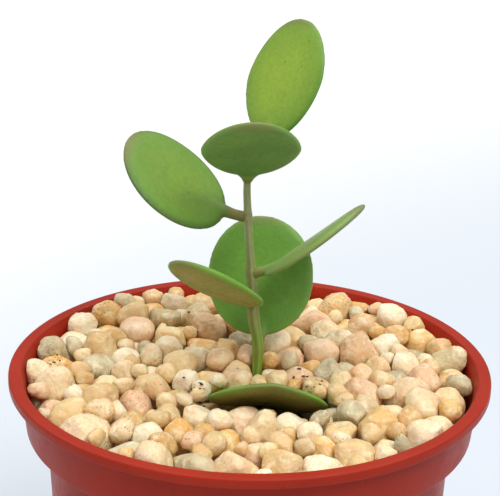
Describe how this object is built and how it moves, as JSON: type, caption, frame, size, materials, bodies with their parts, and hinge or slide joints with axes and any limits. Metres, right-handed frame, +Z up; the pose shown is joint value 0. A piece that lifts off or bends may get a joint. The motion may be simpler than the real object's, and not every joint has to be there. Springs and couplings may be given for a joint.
{
  "type": "potted silver dollar vine",
  "caption": "Young succulent vine with thick round leaves on a thin upright stem, planted in a round terracotta-coloured plastic nursery pot topped with quartz pebbles.",
  "frame": {"origin": "middle of the pot's foot, on the surface that the pot stands on", "axes": "+Z up along the pot's axis, -Y towards the front, +X to the right seen from the front"},
  "size_m": [0.1, 0.1, 0.1549],
  "materials": {
    "pot_plastic": "satin",
    "potting_soil": "matte",
    "stem": "satin",
    "leaf": "satin",
    "pebble_cream": "satin",
    "pebble_beige": "satin",
    "pebble_white": "satin",
    "pebble_amber": "satin",
    "pebble_grey": "satin",
    "pebble_pink": "satin",
    "gravel_mix": "matte"
  },
  "bodies": {
    "root": {"pot": "pot_plastic", "soil": "potting_soil", "stem": "stem", "leaf_top": "leaf", "leaf_front": "leaf", "leaf_left": "leaf", "leaf_right": "leaf", "leaf_left_low": "leaf", "leaf_back": "leaf", "leaf_basal": "leaf", "pebble_01": "pebble_cream", "pebble_02": "pebble_beige", "pebble_03": "pebble_white", "pebble_04": "pebble_amber", "pebble_05": "pebble_grey", "pebble_06": "pebble_pink", "pebble_07": "pebble_cream", "pebble_08": "pebble_beige", "pebble_09": "pebble_white", "pebble_10": "pebble_amber", "pebble_11": "pebble_grey", "pebble_12": "pebble_pink", "pebble_13": "pebble_cream", "pebble_14": "pebble_beige", "pebble_15": "pebble_white", "pebble_16": "pebble_amber", "pebble_17": "pebble_grey", "pebble_18": "pebble_pink", "pebble_19": "pebble_cream", "pebble_20": "pebble_beige", "pebble_21": "pebble_white", "pebble_22": "pebble_amber", "pebble_23": "pebble_grey", "pebble_24": "pebble_pink", "pebble_25": "pebble_cream", "pebble_26": "pebble_beige", "pebble_27": "pebble_white", "pebble_28": "pebble_amber", "pebble_29": "pebble_grey", "pebble_30": "pebble_pink", "pebble_31": "pebble_cream", "pebble_32": "pebble_beige", "pebble_33": "pebble_white", "pebble_34": "pebble_amber", "pebble_35": "pebble_grey", "pebble_36": "pebble_pink", "pebble_37": "pebble_cream", "pebble_38": "pebble_beige", "pebble_39": "pebble_white", "pebble_40": "pebble_amber", "pebble_41": "pebble_grey", "pebble_42": "pebble_pink", "pebble_43": "pebble_cream", "pebble_44": "pebble_beige", "pebble_45": "pebble_white", "pebble_46": "pebble_amber", "gravel_bed": "gravel_mix"}
  },
  "joints": []
}
